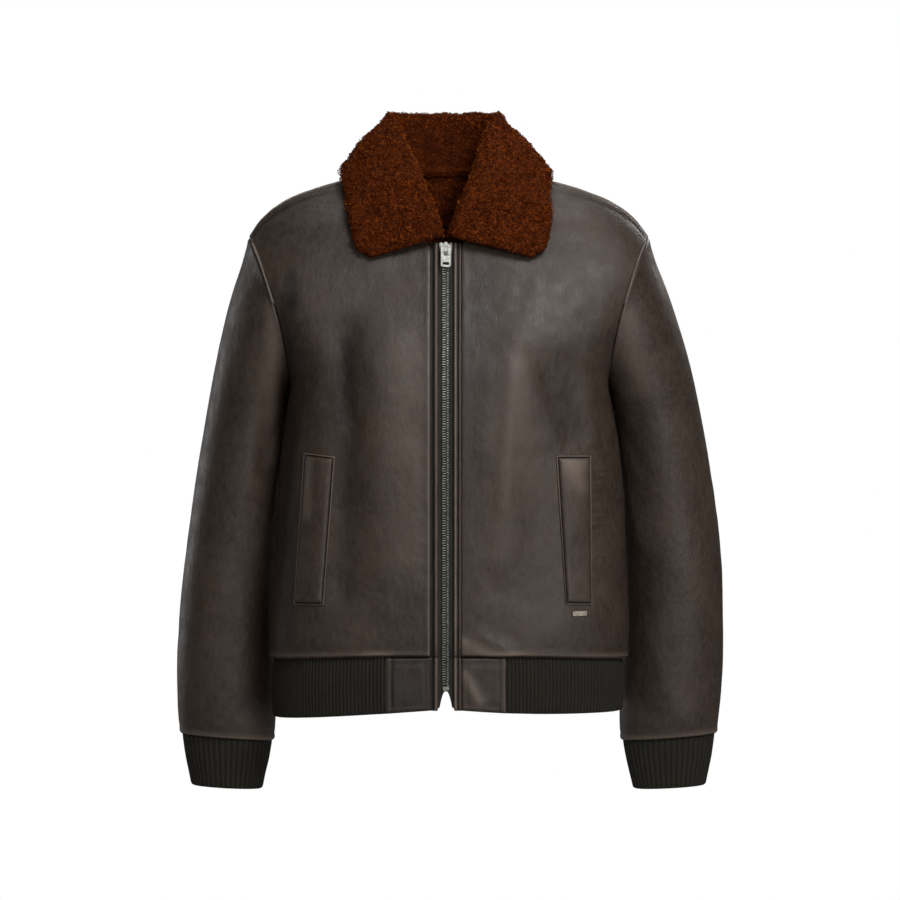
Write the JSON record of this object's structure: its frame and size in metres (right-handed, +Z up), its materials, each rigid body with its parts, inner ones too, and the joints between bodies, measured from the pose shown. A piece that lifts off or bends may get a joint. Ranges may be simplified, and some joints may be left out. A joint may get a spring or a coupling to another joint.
{
  "type": "leather jacket",
  "caption": "Zipped leather jacket with a curled shearling collar, rib-knit hem and cuffs and slanted welt pockets, filled out and hollow as when worn; the zip's pull tab swings.",
  "frame": {"origin": "in the neck hole where the wearer's neck carries the jacket, level with the base of the neck at its side and under the crest of the shoulders", "axes": "+Z up, -Y out of the front, +X to the wearer's left"},
  "size_m": [0.6902, 0.2667, 0.857],
  "materials": {
    "leather": "dark brown, smooth with a soft sheen",
    "shearling": "rust brown curled pile",
    "rib_knit": "dark rib knit, matt",
    "zip_tape": "woven tape, matt",
    "zip_metal": "nickel plated"
  },
  "bodies": {
    "jacket": {"front_left": "leather", "front_right": "leather", "back": "leather", "sleeve_left": "leather", "sleeve_right": "leather", "armhole_ridge_front_left": "leather", "armhole_ridge_front_right": "leather", "armhole_ridge_back_left": "leather", "armhole_ridge_back_right": "leather", "hem_tab_left": "leather", "hem_tab_right": "leather", "zip_band_left": "leather", "zip_band_right": "leather", "pocket_welt_left": "leather", "pocket_welt_right": "leather", "collar": "shearling", "hem_rib": "rib_knit", "cuff_left": "rib_knit", "cuff_right": "rib_knit", "zip_tape_left": "zip_tape", "zip_tape_right": "zip_tape", "zip_slider": "zip_metal", "zip_stop": "zip_metal", "metal_tag": "zip_metal"},
    "pull": {"zip_pull": "zip_metal"}
  },
  "joints": [
    {"name": "pull_swing", "type": "hinge", "parent": "jacket", "child": "pull", "pos_m": [0, -0.0959, -0.07986], "axis": [-1, 0, 0], "range_deg": [0, 75]}
  ]
}
